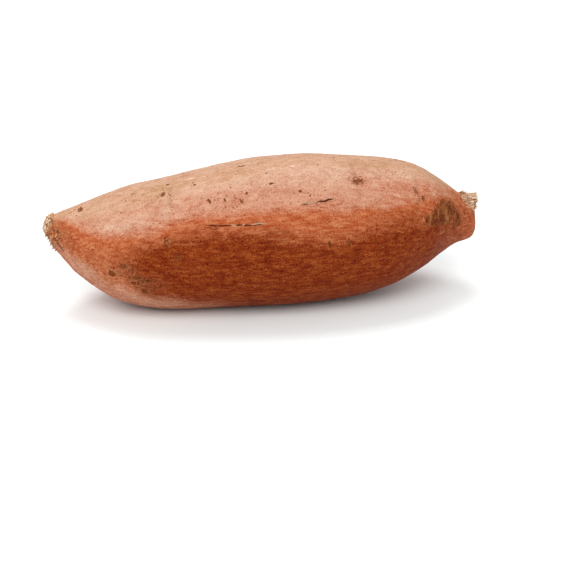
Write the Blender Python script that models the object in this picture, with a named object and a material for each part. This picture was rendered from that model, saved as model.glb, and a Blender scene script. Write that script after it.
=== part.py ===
"""A whole raw sweet potato, lying on its belly.

Metres, +Z up. +X runs along the root from its tail end to its stalk end, and the table is
the plane z = 0. The root grew as one piece, so it is one object: a swollen body, a short
torn stump where it hung from the plant, and a small flat where its weight pressed it.
"""

import math

import bmesh
import bpy
from mathutils import Matrix, Vector

# Driving dimensions, in metres.
LENGTH = 0.2000  # from the tail scar to the blunt stalk end
GIRTH_RADIUS = 0.0333  # half the height at the thickest place
WIDTH_TO_HEIGHT = 1.035  # the body is slightly wider than it is high

# How the body runs, from the tail scar to the stalk end. Each row holds the place along the
# root as a share of LENGTH, the radius there as a share of GIRTH_RADIUS, the height of the
# middle of the section above the table, and how far the middle sways to +Y.
SECTIONS = (
    (0.000, 0.000, 0.0398, 0.0030),
    (0.003, 0.080, 0.0396, 0.0030),
    (0.012, 0.140, 0.0382, 0.0029),
    (0.040, 0.294, 0.0351, 0.0027),
    (0.082, 0.496, 0.0313, 0.0020),
    (0.146, 0.706, 0.0292, 0.0010),
    (0.211, 0.838, 0.0291, 0.0002),
    (0.275, 0.896, 0.0292, -0.0004),
    (0.365, 0.957, 0.0312, -0.0010),
    (0.474, 1.008, 0.0331, -0.0012),
    (0.583, 1.020, 0.0336, -0.0008),
    (0.692, 0.975, 0.0335, 0.0000),
    (0.787, 0.880, 0.0343, 0.0010),
    (0.866, 0.700, 0.0353, 0.0020),
    (0.916, 0.508, 0.0350, 0.0026),
    (0.950, 0.378, 0.0340, 0.0029),
    (0.978, 0.288, 0.0319, 0.0030),
    (0.995, 0.205, 0.0303, 0.0030),
    (1.000, 0.000, 0.0300, 0.0030),
)

# The section is not quite round: each row is a wave around it, as its number of lobes, its
# height as a share of the radius, where it starts, and how far it twists along the root.
LOBES = (
    (2, 0.012, 0.6, 1.1),
    (3, 0.020, 2.2, -1.6),
    (5, 0.007, 0.9, 2.4),
)

RINGS = 60
SEGMENTS = 56

# The torn stump on the upper shoulder of the blunt stalk end.
STUMP_LENGTH = 0.0078
STUMP_BASE_RADIUS = 0.0055
STUMP_TIP_RADIUS = 0.0043
STUMP_SIDES = 20
STUMP_BASE = (0.4600, 0.0030, 0.0366)  # share along LENGTH from the middle, then metres
STUMP_RISE = math.radians(46.0)

# The torn face at the tail, which looks along the root, a little upward and to -Y.
TAIL_FACE = (-0.4930, 0.0020, 0.0398)  # share along LENGTH from the middle, then metres
TAIL_FACING = (-0.80, -0.22, 0.55)

# A cutter is a block this deep, which reaches past the root on every side.
CUTTER_DEPTH = 0.02

SKIN_COLOUR = (0.56, 0.235, 0.125, 1.0)
SKIN_ROUGHNESS = 0.62


def clear_scene():
    for obj in list(bpy.data.objects):
        bpy.data.objects.remove(obj)


def new_collection(name):
    collection = bpy.data.collections.new(name)
    bpy.context.scene.collection.children.link(collection)
    return collection


def skin_material():
    material = bpy.data.materials.new("sweet_potato_skin")
    material.use_nodes = True
    shader = material.node_tree.nodes["Principled BSDF"]
    shader.inputs["Base Color"].default_value = SKIN_COLOUR
    shader.inputs["Roughness"].default_value = SKIN_ROUGHNESS
    shader.inputs["Metallic"].default_value = 0.0
    return material


def outline_knots():
    """How far along the outline each section lies, from 0 at the tail to 1 at the stalk end."""
    travelled = [0.0]
    for before, after in zip(SECTIONS, SECTIONS[1:]):
        along = (after[0] - before[0]) * LENGTH
        out = (after[1] - before[1]) * GIRTH_RADIUS
        travelled.append(travelled[-1] + math.hypot(along, out))
    return [distance / travelled[-1] for distance in travelled]


KNOTS = outline_knots()


def slope_at(index, column):
    """The rate of change of a column of SECTIONS, by the sections on either side."""
    first = max(index - 1, 0)
    last = min(index + 1, len(SECTIONS) - 1)
    return (SECTIONS[last][column] - SECTIONS[first][column]) / (KNOTS[last] - KNOTS[first])


def section_at(share):
    """Share along LENGTH, radius share, middle height and sway, on a smooth curve through SECTIONS."""
    index = 0
    while index < len(KNOTS) - 2 and share > KNOTS[index + 1]:
        index += 1
    span = KNOTS[index + 1] - KNOTS[index]
    t = (share - KNOTS[index]) / span
    values = []
    for column in range(4):
        start, end = SECTIONS[index][column], SECTIONS[index + 1][column]
        leave = slope_at(index, column) * span
        arrive = slope_at(index + 1, column) * span
        values.append(
            start * (2 * t**3 - 3 * t**2 + 1)
            + leave * (t**3 - 2 * t**2 + t)
            + end * (3 * t**2 - 2 * t**3)
            + arrive * (t**3 - t**2)
        )
    return values


def lobe_factor(around, share):
    factor = 1.0
    for count, height, start, twist in LOBES:
        factor += height * math.cos(count * around - start - twist * share)
    return factor


def body_point(share, around):
    """The point of the body's surface at a share of the outline and an angle round from +Y to +Z."""
    along, radius, middle, sway = section_at(share)
    reach = max(radius, 0.0) * GIRTH_RADIUS * lobe_factor(around, share)
    return Vector(
        (
            (along - 0.5) * LENGTH,
            sway + reach * WIDTH_TO_HEIGHT * math.cos(around),
            middle + reach * math.sin(around),
        )
    )


def make_body(collection, material):
    """A ball with its poles at the two ends, each of its points carried to the root's surface."""
    mesh = bpy.data.meshes.new("sweet_potato")
    ball = bmesh.new()
    bmesh.ops.create_uvsphere(ball, u_segments=SEGMENTS, v_segments=RINGS, radius=1.0)
    for vertex in ball.verts:
        height = max(-1.0, min(1.0, vertex.co.z))
        share = math.acos(-height) / math.pi
        around = math.atan2(vertex.co.y, vertex.co.x)
        vertex.co = body_point(share, around)
    bmesh.ops.recalc_face_normals(ball, faces=ball.faces)
    ball.to_mesh(mesh)
    ball.free()
    mesh.materials.append(material)
    mesh.shade_smooth()
    body = bpy.data.objects.new("sweet_potato", mesh)
    collection.objects.link(body)
    return body


def as_helper(mesh, name, collection):
    helper = bpy.data.objects.new(name, mesh)
    helper.hide_render = True
    helper.display_type = "WIRE"
    collection.objects.link(helper)
    return helper


def make_stump(collection):
    """The tapered stump, its base sunk in the stalk end and its axis tipped up from +X."""
    mesh = bpy.data.meshes.new("stalk_stump")
    cone = bmesh.new()
    bmesh.ops.create_cone(
        cone,
        cap_ends=True,
        segments=STUMP_SIDES,
        radius1=STUMP_BASE_RADIUS,
        radius2=STUMP_TIP_RADIUS,
        depth=STUMP_LENGTH,
    )
    turn = Matrix.Rotation(math.pi / 2 - STUMP_RISE, 4, "Y")
    base = Vector((STUMP_BASE[0] * LENGTH, STUMP_BASE[1], STUMP_BASE[2]))
    bmesh.ops.translate(cone, vec=(0.0, 0.0, STUMP_LENGTH / 2), verts=cone.verts)
    bmesh.ops.transform(cone, matrix=Matrix.Translation(base) @ turn, verts=cone.verts)
    cone.to_mesh(mesh)
    cone.free()
    return as_helper(mesh, "stalk_stump", collection)


def make_cutter(name, centre, facing, reach, collection):
    """A block with one face at centre, which fills the space on the side that facing points to."""
    mesh = bpy.data.meshes.new(name)
    block = bmesh.new()
    bmesh.ops.create_cube(block, size=1.0)
    bmesh.ops.scale(block, vec=(reach, reach, CUTTER_DEPTH), verts=block.verts)
    bmesh.ops.translate(block, vec=(0.0, 0.0, CUTTER_DEPTH / 2), verts=block.verts)
    turn = Vector((0.0, 0.0, 1.0)).rotation_difference(Vector(facing)).to_matrix().to_4x4()
    bmesh.ops.transform(block, matrix=Matrix.Translation(centre) @ turn, verts=block.verts)
    block.to_mesh(mesh)
    block.free()
    return as_helper(mesh, name, collection)


def join_and_cut(body, stump, cutters):
    union = body.modifiers.new("stump", "BOOLEAN")
    union.operation = "UNION"
    union.object = stump
    for cutter in cutters:
        cut = body.modifiers.new(cutter.name, "BOOLEAN")
        cut.operation = "DIFFERENCE"
        cut.object = cutter


def centre_over_origin(body, objects):
    """Moves every mesh so that the middle of the finished root's box is over the origin."""
    evaluated = body.evaluated_get(bpy.context.evaluated_depsgraph_get())
    corners = [Vector(corner) for corner in evaluated.bound_box]
    shift = Vector((0.0, 0.0, 0.0))
    for axis in (0, 1):
        low = min(corner[axis] for corner in corners)
        high = max(corner[axis] for corner in corners)
        shift[axis] = -(low + high) / 2
    for obj in objects:
        obj.data.transform(Matrix.Translation(shift))


def main():
    clear_scene()
    parts = new_collection("sweet_potato_parts")
    cutters = new_collection("cutters")
    body = make_body(parts, skin_material())
    stump = make_stump(cutters)
    tail = Vector((TAIL_FACE[0] * LENGTH, TAIL_FACE[1], TAIL_FACE[2]))
    tail_cutter = make_cutter("tail_cutter", tail, TAIL_FACING, 2 * CUTTER_DEPTH, cutters)
    table = Vector((0.0, 0.0, 0.0))
    table_cutter = make_cutter("table_cutter", table, (0.0, 0.0, -1.0), 2 * LENGTH, cutters)
    join_and_cut(body, stump, (tail_cutter, table_cutter))
    centre_over_origin(body, (body, stump, tail_cutter, table_cutter))


main()
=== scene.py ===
# %% [markdown]
# # A whole sweet potato
#
# A sweet potato is a root that swelled with starch under the ground. It grew in one piece: a
# thin skin on dense flesh, a torn tail where it tapered into a thinner root, and a stump at the
# other end, where it was pulled off the plant. This script clothes the plain solid in skin.

# %% Load the solid model
import math

import bmesh
import bpy
import numpy as np
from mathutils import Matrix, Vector
from mathutils.bvhtree import BVHTree


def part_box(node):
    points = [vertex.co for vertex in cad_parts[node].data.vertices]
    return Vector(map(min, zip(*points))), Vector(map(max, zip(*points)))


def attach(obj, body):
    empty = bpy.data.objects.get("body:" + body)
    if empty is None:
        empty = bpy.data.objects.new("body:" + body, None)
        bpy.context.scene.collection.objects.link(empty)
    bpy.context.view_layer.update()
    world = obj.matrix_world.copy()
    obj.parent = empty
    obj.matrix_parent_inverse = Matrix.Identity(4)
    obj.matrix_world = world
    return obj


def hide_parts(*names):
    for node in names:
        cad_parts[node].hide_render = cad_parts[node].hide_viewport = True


MM = 0.001

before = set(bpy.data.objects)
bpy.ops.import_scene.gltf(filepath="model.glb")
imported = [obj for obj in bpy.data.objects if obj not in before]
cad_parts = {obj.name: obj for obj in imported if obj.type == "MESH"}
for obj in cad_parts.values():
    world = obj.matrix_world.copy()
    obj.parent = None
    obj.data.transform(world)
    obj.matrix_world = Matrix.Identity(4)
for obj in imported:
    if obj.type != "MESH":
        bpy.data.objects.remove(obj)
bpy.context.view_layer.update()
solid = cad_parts["sweet_potato"]
low, high = (Vector(corner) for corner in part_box("sweet_potato"))
print("solid root, mm:", [round(side / MM, 1) for side in high - low])

# %% [markdown]
# ## A rounded solid to drape the skin over
#
# The solid has flat facets a few millimetres wide, and a real root has none. Subdivision Surface
# rounds them: it needs welded points and mostly four-sided faces, so a copy of the solid is
# merged and its triangles are joined in pairs. A BVH tree of the rounded copy then answers
# "where does this ray meet the root?", which is all that the next steps ask of it.


# %% Round the solid
def link(obj):
    bpy.context.scene.collection.objects.link(obj)
    return obj


def rounded_tree(source, levels):
    """A ray-casting tree of a merged and subdivided copy of source."""
    copy = link(bpy.data.objects.new("rounded_solid", source.data.copy()))
    work = bmesh.new()
    work.from_mesh(copy.data)
    bmesh.ops.remove_doubles(work, verts=work.verts, dist=0.01 * MM)
    bmesh.ops.join_triangles(
        work, faces=work.faces, angle_face_threshold=0.6, angle_shape_threshold=1.2
    )
    work.to_mesh(copy.data)
    work.free()
    rounding = copy.modifiers.new("rounding", "SUBSURF")
    rounding.levels = rounding.render_levels = levels
    bpy.context.view_layer.update()
    tree = BVHTree.FromObject(copy, bpy.context.evaluated_depsgraph_get())
    bpy.data.objects.remove(copy)
    return tree


root_tree = rounded_tree(solid, 2)
print("rounded solid is ready")

# %% [markdown]
# ## The middle line of the root
#
# Marks on a root are easiest to place by two numbers: how far along it they are, and how far
# round. Round what? The root isn't straight, so a middle line is found first, by looking down,
# up and from both sides at many places along it.


# %% Find the middle line
FAR_OFF = 1.0  # well outside the root, in metres
INSIDE_Y = 2 * MM  # inside the root along its whole length
SLICE_COUNT = 41


def reach(start, direction):
    """The place where a ray from start meets the root."""
    return root_tree.ray_cast(Vector(start), Vector(direction))[0]


def middle_of_slice(x):
    z_top = reach((x, INSIDE_Y, FAR_OFF), (0, 0, -1)).z
    z_bottom = reach((x, INSIDE_Y, -FAR_OFF), (0, 0, 1)).z
    z = (z_top + z_bottom) / 2
    y_near = reach((x, -FAR_OFF, z), (0, 1, 0)).y
    y_far = reach((x, FAR_OFF, z), (0, -1, 0)).y
    return (y_near + y_far) / 2, z


slice_x = np.linspace(low.x + 5 * MM, high.x - 9 * MM, SLICE_COUNT)
slice_middles = np.array([middle_of_slice(x) for x in slice_x])


def middle_line(x):
    """The middle line's y and z at one or many places along the root."""
    return (
        np.interp(x, slice_x, slice_middles[:, 0]),
        np.interp(x, slice_x, slice_middles[:, 1]),
    )


print("middle line height, mm:", slice_middles[:, 1].min() / MM, slice_middles[:, 1].max() / MM)

# %% [markdown]
# ## The skin as a net
#
# The skin could be remeshed into small cubes, but a net of rings and spokes follows the root as
# its own fibres do, and it gives a clean flat map of the skin for free. Spokes leave the middle
# line and stop where they meet the solid. At both ends they fan out like the ribs of an
# umbrella, so that the tips close in one point. The rings are then spaced evenly along the
# outline.

# %% Drape the net over the solid
RING_COUNT = 268
SPOKE_COUNT = 252
SMOOTHING_PASSES = 8
TAIL_HUB = low.x + 10.5 * MM
STALK_HUB = high.x - 12.5 * MM


def spoke(stretch, around):
    """Where a spoke meets the root.

    Stretch runs from 0 to 1 over the tail, on to 2 along the root, and to 3 over the stalk end.
    """
    x = TAIL_HUB + (STALK_HUB - TAIL_HUB) * min(max(stretch - 1.0, 0.0), 1.0)
    lean = math.pi / 2 * (min(stretch, 1.0) + max(stretch - 2.0, 0.0))
    y, z = middle_line(x)
    direction = (
        -math.cos(lean),
        math.sin(lean) * math.cos(around),
        math.sin(lean) * math.sin(around),
    )
    return reach((x, y, z), direction)


def even_stretches(count):
    """Stretches whose rings lie at even distances along the outline, by its length on four sides."""
    fine = np.linspace(0.0, 3.0, 601)
    outlines = np.array(
        [[spoke(s, a) for s in fine] for a in np.radians((20.0, 110.0, 200.0, 290.0))]
    )
    steps = np.linalg.norm(np.diff(outlines, axis=1), axis=2).mean(axis=0)
    travelled = np.concatenate(([0.0], np.cumsum(steps)))
    print("outline from tip to tip, mm:", travelled[-1] / MM)
    return np.interp(np.linspace(0.0, travelled[-1], count + 2), travelled, fine)


def smoothed(net, tips, passes):
    """The net after each point has moved towards its four neighbours a few times."""
    for _ in range(passes):
        first = np.broadcast_to(tips[0], net[:1].shape)
        last = np.broadcast_to(tips[1], net[:1].shape)
        tall = np.concatenate((first, net, last))
        along = (tall[:-2] + tall[2:]) / 2
        across = (np.roll(net, 1, axis=1) + np.roll(net, -1, axis=1)) / 2
        net = net * 0.5 + along * 0.25 + across * 0.25
    return net


stretches = even_stretches(RING_COUNT)
spoke_angles = np.arange(SPOKE_COUNT) * 2 * math.pi / SPOKE_COUNT
net = np.array([[spoke(s, a) for a in spoke_angles] for s in stretches[1:-1]])
tips = np.array([spoke(0.0, 0.0), spoke(3.0, 0.0)])
net = smoothed(net, tips, SMOOTHING_PASSES)


# %% Raise the stump
STUMP_END = np.array((high.x - 0.5 * MM, 2.0 * MM, 40.5 * MM))
STUMP_REACH = 8 * MM
STUMP_LIFT = np.array((0.2, 0.0, 3.3))  # mm


def raised_stump(points):
    """The points near the stump's outer end, lifted so that the stump points along the root."""
    away = np.linalg.norm(points - STUMP_END, axis=-1)
    share = np.clip(1 - away / STUMP_REACH, 0, 1)
    return points + (share * share * (3 - 2 * share))[..., None] * STUMP_LIFT * MM


net, tips = raised_stump(net), raised_stump(tips)
print("net points:", net.shape[0] * net.shape[1] + 2)


# %% Knot the net into a mesh
MAP_MARGIN = 0.002  # kept free round the flat map


def net_mesh(net, tips):
    """A closed mesh of the net, with a flat map of the skin as its UV map."""
    rings, spokes = net.shape[:2]
    points = np.concatenate((net.reshape(-1, 3), tips))
    tail, stalk = len(points) - 2, len(points) - 1
    faces, maps = [], []
    for ring in range(rings - 1):
        for s in range(spokes):
            a, b = ring * spokes + s, ring * spokes + (s + 1) % spokes
            faces.append((b, b + spokes, a + spokes, a))
            maps.append(((ring + 1, s + 1), (ring + 2, s + 1), (ring + 2, s), (ring + 1, s)))
    for s in range(spokes):
        after = (s + 1) % spokes
        end = (rings - 1) * spokes
        faces.append((tail, after, s))
        maps.append(((0, s + 0.5), (1, s + 1), (1, s)))
        faces.append((stalk, end + s, end + after))
        maps.append(((rings + 1, s + 0.5), (rings, s), (rings, s + 1)))
    mesh = bpy.data.meshes.new("skin_net")
    mesh.from_pydata(points.tolist(), [], faces)
    layer = mesh.uv_layers.new(name="OFBake")
    flat = np.array([corner for face in maps for corner in face], dtype=np.float64)
    flat /= (rings + 1, spokes)
    layer.data.foreach_set("uv", (flat * (1 - 2 * MAP_MARGIN) + MAP_MARGIN).ravel())
    return mesh


skin_mesh = net_mesh(net, tips)
print("net faces:", len(skin_mesh.polygons))

# %% [markdown]
# ## Places on the skin
#
# Cracks, scabs and eyes are placed with a tape-measure's numbers: millimetres along the
# root from its middle, and degrees round it. 90 degrees is the top, 180 the near side, 270 the
# belly and 0 the far side. Each kind of mark becomes one number on every point of the skin, from
# 0 to 1, which shapes the relief and colours the skin later.


# %% Helpers that place marks
WANDER_HEIGHTS = 4096
ROUGH_DEGREE = 0.0175  # radians in a degree, near enough for a random line


def skin_places(points):
    """Millimetres along, degrees round and millimetres out from the middle line."""
    y, z = middle_line(points[:, 0])
    y, z = points[:, 1] - y, points[:, 2] - z
    return points[:, 0] / MM, np.degrees(np.arctan2(z, y)) % 360, np.hypot(y, z) / MM


def blend(value, start, end):
    """0 before start, 1 after end, and a smooth step between. End may be below start."""
    t = np.clip((value - start) / (end - start), 0.0, 1.0)
    return t * t * (3 - 2 * t)


def turned(around, centre):
    """Degrees from centre, from -180 to 180."""
    return (around - centre + 180) % 360 - 180


def wander(value, seed, step):
    """A smooth random line: from -1 to 1, with a new random height each step."""
    heights = np.random.default_rng(seed).uniform(-1, 1, WANDER_HEIGHTS)
    place = np.asarray(value) / step + WANDER_HEIGHTS // 2
    index = np.floor(place).astype(int)
    share = place - index
    share = share * share * (3 - 2 * share)
    return heights[index] * (1 - share) + heights[index + 1] * share


def oval(places, x, around, length, width, turn=0.0, soft=0.5):
    """1 in an oval patch on the skin, fading to 0 over its soft edge. Length and width are in mm."""
    along, angle, out = places
    u = along - x
    v = np.radians(turned(angle, around)) * out
    c, s = math.cos(math.radians(turn)), math.sin(math.radians(turn))
    distance = np.hypot((u * c + v * s) / (length / 2), (v * c - u * s) / (width / 2))
    return blend(distance, 1 + soft, 1 - soft)


def split(places, path, width, seed=0, shake=0.25):
    """1 on the line of a lengthwise split and 0 at its edges. Path holds (mm along, degrees round)."""
    along, angle, out = places
    xs, angles = zip(*path)
    middle = np.interp(along, xs, angles)
    v = np.radians(turned(angle, middle)) * out + shake * wander(along, seed, 1.3)
    share = np.clip((along - xs[0]) / (xs[-1] - xs[0]), 0.0, 1.0)
    opening = np.sqrt(np.clip(np.sin(math.pi * share), 0.0, 1.0))
    half = width / 2 * opening * (1 + 0.35 * wander(along, seed + 1, 0.9))
    inside = (along > xs[0]) & (along < xs[-1])
    return np.where(inside, np.clip(1 - np.abs(v) / np.maximum(half, 0.02), 0.0, 1.0), 0.0)


def crease(places, path, width, seed=0, shake=0.5):
    """As split, for a line that runs round the root. Path holds (degrees round, mm along)."""
    along, angle, out = places
    angles, xs = zip(*path)
    middle = np.interp(angle, angles, xs)
    u = along - middle + shake * wander(angle * out * ROUGH_DEGREE, seed, 2.0)
    share = np.clip((angle - angles[0]) / (angles[-1] - angles[0]), 0.0, 1.0)
    fade = np.clip(np.sin(math.pi * share) * 1.6, 0.0, 1.0)
    inside = (angle > angles[0]) & (angle < angles[-1])
    return np.where(inside, blend(np.abs(u), width, 0.0) * fade, 0.0)


# %% [markdown]
# ## The marks
#
# Real roots crack lengthwise when they swell faster than their skin can stretch, and the cracks
# heal with pale cork. Eyes are shallow dents where a fine root grew. Scabs and strokes are where
# soil, insects or rubbing hurt the skin. Smudges are partly such stains and partly painted shade
# laid in the dents, and the painted highlights are small pale spots of painted light near the top.
# The near side's marks are placed one by one; the far side and belly get their own of the same kinds.

# %% Cracks
DARK_SPLITS = (  # (mm along, degrees round) points, then the width in mm and a seed
    (((-29.0, 148.2), (-22, 150.4), (-18.0, 151.3)), 0.75, 1),
    (((-16.2, 151.7), (-13.4, 152.0)), 0.75, 2),
    (((-12.8, 152.2), (-9.6, 152.7)), 0.75, 3),
    (((-9.0, 152.9), (-4.4, 153.2)), 0.45, 4),
    (((19.4, 139.8), (23, 138.8), (27.4, 137.0)), 1.05, 5),
    (((12.6, 140.9), (15.5, 140.8)), 0.45, 6),
    (((-12.0, 92.6), (-8.2, 91.6)), 2.40, 7),
    (((-52, 20), (-40, 22), (-31, 21)), 0.8, 8),
    (((22, 338), (34, 341), (41, 340)), 0.9, 9),
    (((-8, 262), (9, 258)), 0.6, 10),
    (((38, 45), (46, 47)), 0.8, 11),
)
PALE_SPLITS = (
    (((-18.4, 151.3), (-15.8, 151.7)), 1.0, 21),
    (((-13.8, 151.9), (-12.2, 152.2)), 1.0, 22),
    (((-10.2, 152.4), (-7.4, 152.6)), 0.9, 23),
    (((-8.0, 152.2), (-3.6, 152.3)), 1.2, 24),
    (((12.4, 140.4), (16, 140.0), (20.2, 139.4)), 1.5, 25),
    (((-43, 22.5), (-36, 23.0)), 1.2, 26),
    (((27, 341.5), (33, 342.5)), 1.2, 27),
)


def strongest(values):
    return np.maximum.reduce(list(values))


def cracks_at(places):
    return strongest(split(places, path, width, seed) for path, width, seed in DARK_SPLITS)


def cork_at(places):
    return strongest(split(places, path, width, seed) for path, width, seed in PALE_SPLITS)


# %% Eyes, dents and creases
DENTS = (  # mm along, degrees round, length, width, depth share
    (39.0, 121, 6.0, 5.0, 1.0),
    (-50, 112, 26, 22, 0.55),
    (-43.5, 111, 2.4, 2.0, 0.35),
    (-60, 99, 2.4, 2.0, 0.30),
    (-82.8, 100, 3.0, 2.6, 0.40),
    (-45.6, 157, 5.0, 4.0, 0.30),
    (-42.2, 172, 4.5, 4.0, 0.35),
    (66, 131, 3.2, 4.4, 0.30),
    (-20, 30, 6.0, 5.0, 0.9),
    (52, 10, 7.0, 5.0, 0.9),
    (-66, 345, 6.0, 5.0, 0.8),
    (10, 318, 6.0, 5.0, 0.7),
    (66, 60, 4.0, 4.0, 0.6),
)
RING_CREASES = (  # (degrees round, mm along) points, then the width in mm and a seed
    (((88, 37.5), (112, 38.6), (131, 39.6), (142, 40.5)), 1.5, 31),
    (((112, 66.5), (124, 67.2), (142, 66.6), (164, 64.6)), 1.3, 32),
    (((96, -41.5), (118, -43.5), (131, -43.0)), 1.6, 33),
    (((20, 70.5), (60, 72.0), (96, 73.0)), 1.4, 34),
    (((4, -19), (30, -20.5), (56, -19.5)), 1.4, 35),
    (((320, 51), (345, 53), (355, 52.5)), 1.4, 36),
    (((150, 80), (172, 79), (196, 77)), 1.6, 37),
)
LONG_CREASES = (  # as the splits
    (((38, 158), (47, 152), (63, 150)), 1.6, 41),
    (((-40, 150), (-30, 147), (-16, 146)), 1.4, 42),
    (((-2, 159), (20, 163), (34, 165)), 1.5, 43),
    (((28, 144), (40, 145), (56, 141)), 1.2, 44),
)


def dents_at(places):
    return strongest(
        oval(places, x, around, length, width, soft=0.9) * depth
        for x, around, length, width, depth in DENTS
    )


def creases_at(places):
    round_the_root = [crease(places, path, width, seed) for path, width, seed in RING_CREASES]
    along_the_root = [
        blend(split(places, path, width, seed, shake=0.6), 0.0, 1.0) * 0.7
        for path, width, seed in LONG_CREASES
    ]
    return strongest(round_the_root + along_the_root)


# %% Scabs, strokes, painted highlights and smudges
STROKE_STRENGTH = 1.5
SCABS = (  # mm along, degrees round, length, width, turn, strength, as in the next tables
    (80.0, 156, 15, 11, -18, 1.0),
    (86.0, 166, 7, 8, 0, 0.8),
    (74.0, 163, 12, 7, 8, 0.85),
    (-64.0, 190, 16, 6, 4, 0.38),
    (-93.5, 150, 3.5, 3.0, 30, 0.8),
    (-92.5, 190, 5.5, 2.2, 50, 1.0),
    (-30, 330, 9, 3, 10, 0.7),
    (46, 290, 8, 5, -14, 0.8),
    (14, 20, 5, 2, 8, 0.7),
    (76, 30, 8, 4, -10, 0.8),
)
STROKES = (  # small dark marks
    (-46.1, 109.6, 1.8, 2.6, 25, 1.0),
    (-43.5, 96, 2.0, 1.1, 0, 0.8),
    (-32.0, 107.5, 1.7, 1.1, 0, 0.8),
    (-26.8, 128, 1.3, 2.8, -25, 1.0),
    (-20.0, 130, 1.3, 2.2, 0, 0.8),
    (-12.8, 133.5, 1.3, 2.4, -25, 1.0),
    (-10.5, 127, 1.1, 1.8, 0, 0.7),
    (0.7, 121, 1.7, 1.5, 0, 0.9),
    (12.8, 130, 1.7, 1.3, 0, 0.7),
    (16.9, 134, 1.2, 1.8, -20, 0.7),
    (69.0, 140, 1.6, 2.6, 10, 0.7),
    (-82.8, 97, 2.2, 3.2, 0, 0.9),
    (24.0, 170, 1.3, 3.2, -10, 0.9),
    (33.0, 171, 1.3, 2.8, -10, 0.9),
    (-61.0, 188, 5.5, 1.8, -6, 1.0),
    (-60.4, 195, 5.0, 1.5, 10, 1.0),
    (-54.6, 190, 4.6, 1.3, -14, 1.0),
    (-70.4, 188, 3.0, 3.2, 20, 0.9),
    (-56.0, 203, 2.8, 3.2, 0, 1.0),
    (-80.4, 230, 4.0, 1.4, 35, 0.9),
    (-24.0, 24, 2.0, 1.4, 10, 0.9),
    (30.0, 15, 1.4, 2.8, 20, 0.9),
    (-52.0, 50, 1.8, 2.2, 0, 0.9),
    (58.0, 340, 2.6, 1.2, -10, 0.9),
    (-10.0, 300, 3.0, 1.4, 10, 0.9),
)
# painted highlights: small pale spots of painted light, most of them near the top of the root
PAINTED_HIGHLIGHTS = (
    (-32.8, 96, 3.0, 1.8, 20, 1.0),
    (-27.5, 98, 1.8, 1.1, 0, 0.7),
    (1.5, 104, 4.2, 1.2, 0, 0.8),
    (7.0, 104.5, 3.6, 1.1, 0, 0.9),
    (11.5, 103, 2.8, 1.0, -10, 0.8),
    (62.0, 118, 3.2, 1.0, 0, 0.6),
    (73.0, 124, 3.2, 0.9, 0, 0.6),
    (-70.0, 140, 8.0, 2.6, 0, 0.3),
    (20.0, 60, 4.0, 1.2, 0, 0.7),
    (-40.0, 50, 3.2, 1.2, 10, 0.7),
)
# soil stains, and painted shade laid in each dent and eye
SMUDGES_AND_DENT_SHADE = (
    (91, 128, 9, 10, 0, 0.42),
    (-93, 168, 10, 14, 0, 0.38),
    (-63.7, 178, 7.5, 5.0, 0, 0.9),
    (-69, 183, 9, 4, 10, 0.4),
    (-45.6, 157.5, 6.0, 4.6, 0, 0.9),
    (-42.0, 171, 4.6, 5.6, 0, 0.8),
    (-55.5, 160, 6, 5, 0, 0.4),
    (39.2, 121.5, 6.0, 5.0, 20, 0.9),
    (38.0, 117, 15, 12, 0, 0.26),
    (66.0, 131, 3.0, 5.0, 0, 0.6),
    (-43.5, 111.5, 3.0, 2.8, 0, 0.7),
    (-59.9, 99, 3.0, 2.2, 0, 0.6),
    (-82.8, 100, 3.2, 3.6, 0, 0.7),
    (-18, 128, 16, 6, 0, 0.28),
    (-50, 110, 24, 16, 0, 0.22),
    (-27, 152, 7, 3, 0, 0.45),
    (2, 160, 12, 3, 0, 0.35),
    (-94.5, 152, 6, 4, 0, 0.7),
    (24, 170, 2.0, 4.0, 0, 0.6),
    (33, 171, 2.4, 3.0, 0, 0.6),
    (38, 160, 5.0, 3.0, 35, 0.5),
    (-20, 30, 6, 5, 0, 0.8),
    (52, 10, 7, 5, 0, 0.8),
    (-66, 345, 6, 5, 0, 0.7),
    (10, 318, 6, 5, 0, 0.7),
    (-36, 300, 10, 6, 0, 0.5),
    (66, 60, 4, 4, 0, 0.6),
    (30, 62, 4, 3, 0, 0.5),
    (0, 50, 3, 4, 0, 0.5),
)


def patches(places, table, soft):
    return strongest(
        oval(places, x, around, length, width, turn, soft) * strength
        for x, around, length, width, turn, strength in table
    )


# %% [markdown]
# ## The torn ends
#
# Each end was torn, not cut: pale dry tissue, frayed into fibres, inside a ragged rim of skin.
# A point belongs to a torn end when it lies far enough out along the direction that the end
# faces. The rim wanders, so the boundary is shaken with a random line round the end.

# %% Where the skin is torn
TAIL_CENTRE = np.array((low.x + 1.9 * MM, 1.3 * MM, 39.8 * MM))
TAIL_FACING = np.array((-0.80, -0.22, 0.55))
STALK_CENTRE = np.array((high.x - 2.8 * MM, 2.3 * MM, 42.2 * MM))
STALK_FACING = np.array((0.69, 0.0, 0.72))


def torn_at(points, centre, facing, radius, depth, seed):
    """1 on a torn end and 0 on whole skin. Depth is how far behind its middle the rim lies."""
    facing = facing / np.linalg.norm(facing)
    offset = points - centre
    ahead = offset @ facing
    side = offset - ahead[:, None] * facing
    clock = np.degrees(np.arctan2(side[:, 2], side[:, 1]))
    rim = (depth + 0.5 * wander(clock, seed, 24.0) + 0.25 * wander(clock, seed + 1, 7.0)) * MM
    inside = blend(ahead, -rim - 0.35 * MM, -rim + 0.35 * MM)
    return inside * blend(np.linalg.norm(side, axis=1), radius * MM + 1.5 * MM, radius * MM)


def torn_ends(points):
    tail = torn_at(points, TAIL_CENTRE, TAIL_FACING, 5.2, 0.5, 51)
    stalk = torn_at(points, STALK_CENTRE, STALK_FACING, 5.7, 2.8, 53)
    return tail, stalk


# %% [markdown]
# ## More points where the marks are
#
# A crack is half a millimetre wide, and the net's meshes are nearly a whole one. Making the whole
# net four times finer would make it far too heavy, so only the faces under cracks, small dark
# strokes and torn ends are subdivided.


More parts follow.
